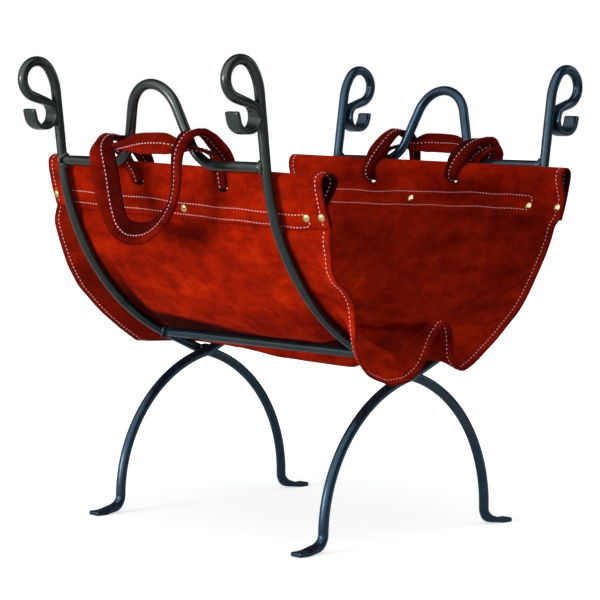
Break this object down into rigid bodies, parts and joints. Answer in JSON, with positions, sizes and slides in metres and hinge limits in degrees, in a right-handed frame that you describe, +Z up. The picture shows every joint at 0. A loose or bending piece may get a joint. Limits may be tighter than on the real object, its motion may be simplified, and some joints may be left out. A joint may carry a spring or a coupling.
{
  "type": "firewood rack",
  "caption": "Free-standing firewood rack: crossed round-bar legs with scrolled posts and hooped rails carry a red leather log sling with strap handles.",
  "frame": {"origin": "on the floor, under the middle of the trough: the centre of the underside of the object's bounding box", "axes": "+X along the trough, to the right seen from the near side; +Y from the near side to the far side; +Z up"},
  "size_m": [0.5053, 0.615, 0.5886],
  "materials": {
    "blackened_bar": "dark blackened round bar with a satin sheen",
    "weld_bead": "weld bead under the same dark finish, a little rougher",
    "sling_leather": "rust red suede, mottled",
    "strap_leather": "rust red leather, folded and stitched",
    "rivet_brass": "polished brass"
  },
  "bodies": {
    "frame": {"left_near_bar": "blackened_bar", "left_far_bar": "blackened_bar", "right_near_bar": "blackened_bar", "right_far_bar": "blackened_bar", "near_top_rail": "blackened_bar", "near_lower_rail": "blackened_bar", "far_top_rail": "blackened_bar", "far_lower_rail": "blackened_bar", "near_top_weld_left": "weld_bead", "near_top_weld_right": "weld_bead", "near_lower_weld_left": "weld_bead", "near_lower_weld_right": "weld_bead", "far_top_weld_left": "weld_bead", "far_top_weld_right": "weld_bead", "far_lower_weld_left": "weld_bead", "far_lower_weld_right": "weld_bead", "crossing_weld_top_left": "weld_bead", "crossing_weld_top_right": "weld_bead", "crossing_weld_under_left": "weld_bead", "crossing_weld_under_right": "weld_bead"},
    "sling": {"leather_sling": "sling_leather", "near_rivet_hem_left": "rivet_brass", "near_rivet_left": "rivet_brass", "near_rivet_middle": "rivet_brass", "near_rivet_right": "rivet_brass", "near_rivet_hem_right": "rivet_brass", "far_rivet_hem_left": "rivet_brass", "far_rivet_left": "rivet_brass", "far_rivet_middle": "rivet_brass", "far_rivet_right": "rivet_brass", "far_rivet_hem_right": "rivet_brass", "near_short_strap": "strap_leather", "far_short_strap": "strap_leather", "near_strap_tail_left": "strap_leather", "near_strap_tail_right": "strap_leather", "far_strap_tail_left": "strap_leather", "far_strap_tail_right": "strap_leather"},
    "near_loop": {"near_long_strap": "strap_leather"},
    "far_loop": {"far_long_strap": "strap_leather"}
  },
  "joints": [
    {"name": "sling_lift", "type": "slide", "parent": "frame", "child": "sling", "axis": [0, 0, 1], "range_m": [0, 0.4]},
    {"name": "near_loop_swing", "type": "hinge", "parent": "sling", "child": "near_loop", "pos_m": [-0.088, -0.24564, 0.49383], "axis": [-0.9986, 0, -0.0527], "range_deg": [0, 140]},
    {"name": "far_loop_swing", "type": "hinge", "parent": "sling", "child": "far_loop", "pos_m": [0.088, 0.24564, 0.49383], "axis": [0.9986, 0, -0.0527], "range_deg": [0, 140]}
  ]
}
